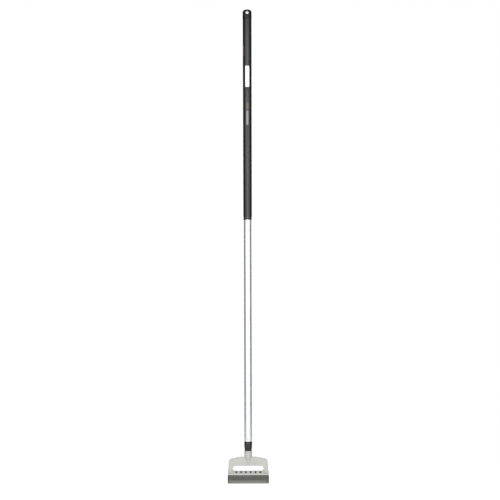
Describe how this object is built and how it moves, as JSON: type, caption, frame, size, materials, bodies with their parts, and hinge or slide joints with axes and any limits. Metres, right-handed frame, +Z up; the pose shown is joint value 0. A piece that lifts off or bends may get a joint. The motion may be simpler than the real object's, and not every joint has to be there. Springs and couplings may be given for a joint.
{
  "type": "snow brush scraper",
  "caption": "Long-handled snow brush and ice scraper: slim metal pole, sleeve grip with hanging cap, twist-lock collar, and a windowed yoke holding a blade and a bristle strip.",
  "frame": {"origin": "middle of the hanging hole in the top cap, on the pole's axis", "axes": "+Z up along the pole, X across the head, -Y the front of the head (brush side)"},
  "size_m": [0.145, 0.0316, 1.6601],
  "materials": {
    "tube_metal": "bright satin anodised tube",
    "grip_plastic": "black satin, fine moulded grain",
    "cap_plastic": "black satin moulding",
    "fastener_steel": "bright zinc-plated",
    "label_white": "white satin panel",
    "accent_orange": "orange-brown satin inlay",
    "stripe_grey": "pale grey satin inlay",
    "mark_red": "dull red satin inlay",
    "yoke_plastic": "light warm grey moulding, fine grain",
    "blade_steel": "grey rolled sheet with a ground edge",
    "screw_black": "black oxide",
    "block_plastic": "dark grey moulding",
    "bristle_nylon": "stiff dark grey bristles"
  },
  "bodies": {
    "handle": {"shaft_tube": "tube_metal", "grip_sleeve": "grip_plastic", "grip_end_ring": "grip_plastic", "hanger_cap": "cap_plastic", "cap_pin": "fastener_steel", "label_panel": "label_white", "accent_inlay": "accent_orange", "stripe_inlay": "stripe_grey", "side_inlay": "mark_red", "ferrule": "cap_plastic", "ferrule_rivet_left": "fastener_steel", "ferrule_rivet_right": "fastener_steel"},
    "lock_ring": {"lock_ring": "cap_plastic"},
    "head": {"head_yoke": "yoke_plastic", "head_spigot": "tube_metal", "spigot_pin": "fastener_steel", "scraper_blade": "blade_steel", "clamp_bar": "block_plastic", "clamp_screw_1": "screw_black", "clamp_screw_2": "screw_black", "clamp_screw_3": "screw_black", "clamp_screw_4": "screw_black", "clamp_screw_5": "screw_black", "clamp_screw_6": "screw_black", "clamp_nut_1": "screw_black", "clamp_nut_2": "screw_black", "clamp_nut_3": "screw_black", "clamp_nut_4": "screw_black", "clamp_nut_5": "screw_black", "clamp_nut_6": "screw_black", "brush_block": "block_plastic", "bristle_strip": "bristle_nylon", "end_cap_left": "block_plastic", "end_cap_right": "block_plastic", "end_screw_left": "screw_black", "end_screw_right": "screw_black"}
  },
  "joints": [
    {"name": "lock_ring_turn", "type": "hinge", "parent": "handle", "child": "lock_ring", "pos_m": [0, 0, -1.52525], "axis": [0, 0, 1], "range_deg": [0, 120]},
    {"name": "head_pull", "type": "slide", "parent": "handle", "child": "head", "axis": [0, 0, -1], "range_m": [0, 0.08]}
  ]
}
